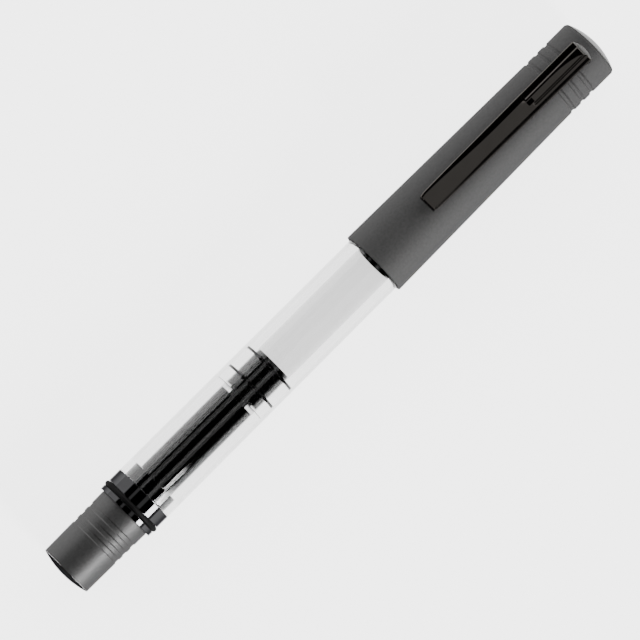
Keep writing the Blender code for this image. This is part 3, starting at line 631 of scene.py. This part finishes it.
for cad_name, material in (("knob_screw", TURNED_STEEL), ("drive_screw", TURNED_STEEL),
                           ("thrust_washer", LINER), ("retaining_ring", TURNED_STEEL),
                           ("rod_guide", BLACK), ("nib_housing", BLACK)):
    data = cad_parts[cad_name].data
    for k in range(len(data.materials)):
        data.materials[k] = material


# Floor, light and camera ------------------------------------------------------------------

FLOOR_GLOW = 3.4


def floor_material():
    """Pale, mostly lit from within, so that shadows on it stay faint."""
    made = look("pale_floor", (0.55, 0.55, 0.55), 0.9, mottle=0.004, patch_mm=400.0)
    shader = made.node_tree.nodes["Principled BSDF"]
    shader.inputs["Emission Color"].default_value = (1.0, 1.0, 1.0, 1.0)
    shader.inputs["Emission Strength"].default_value = FLOOR_GLOW
    shader.inputs["Specular IOR Level"].default_value = 0.0
    return made


bpy.ops.mesh.primitive_grid_add(x_subdivisions=4, y_subdivisions=4, size=12.0)
floor = bpy.context.object
floor.name = "floor"
floor.data.materials.append(floor_material())


def window(tree, value, low, high, soft):
    """One between low and high, with soft sides."""
    parts = []
    for edge, first, last in ((low, 0.0, 1.0), (high, 1.0, 0.0)):
        step = node(tree, "ShaderNodeMapRange", interpolation_type="SMOOTHSTEP",
                    in_From_Min=edge - soft, in_From_Max=edge + soft,
                    in_To_Min=first, in_To_Max=last)
        tree.links.new(value, step.inputs["Value"])
        parts.append(step.outputs["Result"])
    both = node(tree, "ShaderNodeMath", operation="MULTIPLY")
    tree.links.new(parts[0], both.inputs[0])
    tree.links.new(parts[1], both.inputs[1])
    return both.outputs["Value"]


def studio():
    """Soft boxes, given by roll (degrees from overhead towards +Y) and tilt (towards +X)."""
    boxes = (
        # roll from, to, tilt from, to, softness, radiance
        (43, 97, -65, 65, 2.0, 3.0),       # broad side light
        (11, 21, -30, 28, 1.5, 1.0),       # dim strip
        (-33, -19, -30, 28, 1.5, 1.0),     # dim strip
        (-79, -59, -8, 1.45, 0.25, 110.0),  # key
        (-97, -83, -65, 65, 2.0, 0.8),     # low light behind the key
        (-50, 20, 7, 24, 2.0, 1.0),        # overhead, towards the cap
        (-110, 110, 34, 95, 4.0, 3.0),     # end light for the cap's dome
    )
    world = bpy.data.worlds.new("studio")
    bpy.context.scene.world = world
    world.use_nodes = True
    tree = world.node_tree
    links = tree.links
    where = node(tree, "ShaderNodeTexCoord")
    split = node(tree, "ShaderNodeSeparateXYZ")
    links.new(where.outputs["Generated"], split.inputs["Vector"])
    roll = node(tree, "ShaderNodeMath", operation="ARCTAN2")
    links.new(split.outputs["Y"], roll.inputs[0])
    links.new(split.outputs["Z"], roll.inputs[1])
    tilt = node(tree, "ShaderNodeMath", operation="ARCSINE")
    links.new(split.outputs["X"], tilt.inputs[0])
    degrees = []
    for angle in (roll, tilt):
        turn = node(tree, "ShaderNodeMath", operation="DEGREES")
        links.new(angle.outputs["Value"], turn.inputs[0])
        degrees.append(turn.outputs["Value"])
    total = None
    for roll_low, roll_high, tilt_low, tilt_high, soft, radiance in boxes:
        across = window(tree, degrees[0], roll_low, roll_high, soft)
        along = window(tree, degrees[1], tilt_low, tilt_high, soft)
        box = node(tree, "ShaderNodeMath", operation="MULTIPLY")
        links.new(across, box.inputs[0])
        links.new(along, box.inputs[1])
        scaled = node(tree, "ShaderNodeMath", operation="MULTIPLY_ADD")
        scaled.inputs[1].default_value = radiance
        scaled.inputs[2].default_value = 0.01
        links.new(box.outputs["Value"], scaled.inputs[0])
        if total is not None:
            links.new(total, scaled.inputs[2])
        total = scaled.outputs["Value"]
    back = tree.nodes["Background"]
    links.new(total, back.inputs["Strength"])
    back.inputs["Color"].default_value = (1.0, 1.0, 1.0, 1.0)


studio()


def add_camera():
    """Almost overhead, a little towards the tail and the clip's low side, with a long lens."""
    distance, tail_ward, side_ward, angle = 0.95, 0.065, 0.083, math.radians(45.2)
    middle = TAIL_X + 68.85 * MM
    aim = Vector((middle - 2.97 * MM, -0.39 * MM, AXIS_Z))
    lift = math.sqrt(distance ** 2 - tail_ward ** 2 - side_ward ** 2)
    back = Vector((-tail_ward, -side_ward, lift)).normalized()
    right = Vector((math.cos(angle), -math.sin(angle), 0.0))
    right = (right - back * right.dot(back)).normalized()
    up = back.cross(right)
    lens = bpy.data.cameras.new("camera")
    lens.sensor_width = 36.0
    lens.lens = 18.0 / math.tan(math.radians(7.037) / 2)
    lens.clip_start = 0.05
    lens.clip_end = 30.0
    camera = bpy.data.objects.new("camera", lens)
    camera.matrix_world = Matrix((
        (right.x, up.x, back.x, aim.x + back.x * distance),
        (right.y, up.y, back.y, aim.y + back.y * distance),
        (right.z, up.z, back.z, aim.z + back.z * distance),
        (0.0, 0.0, 0.0, 1.0)))
    bpy.context.scene.collection.objects.link(camera)
    bpy.context.scene.camera = camera


add_camera()
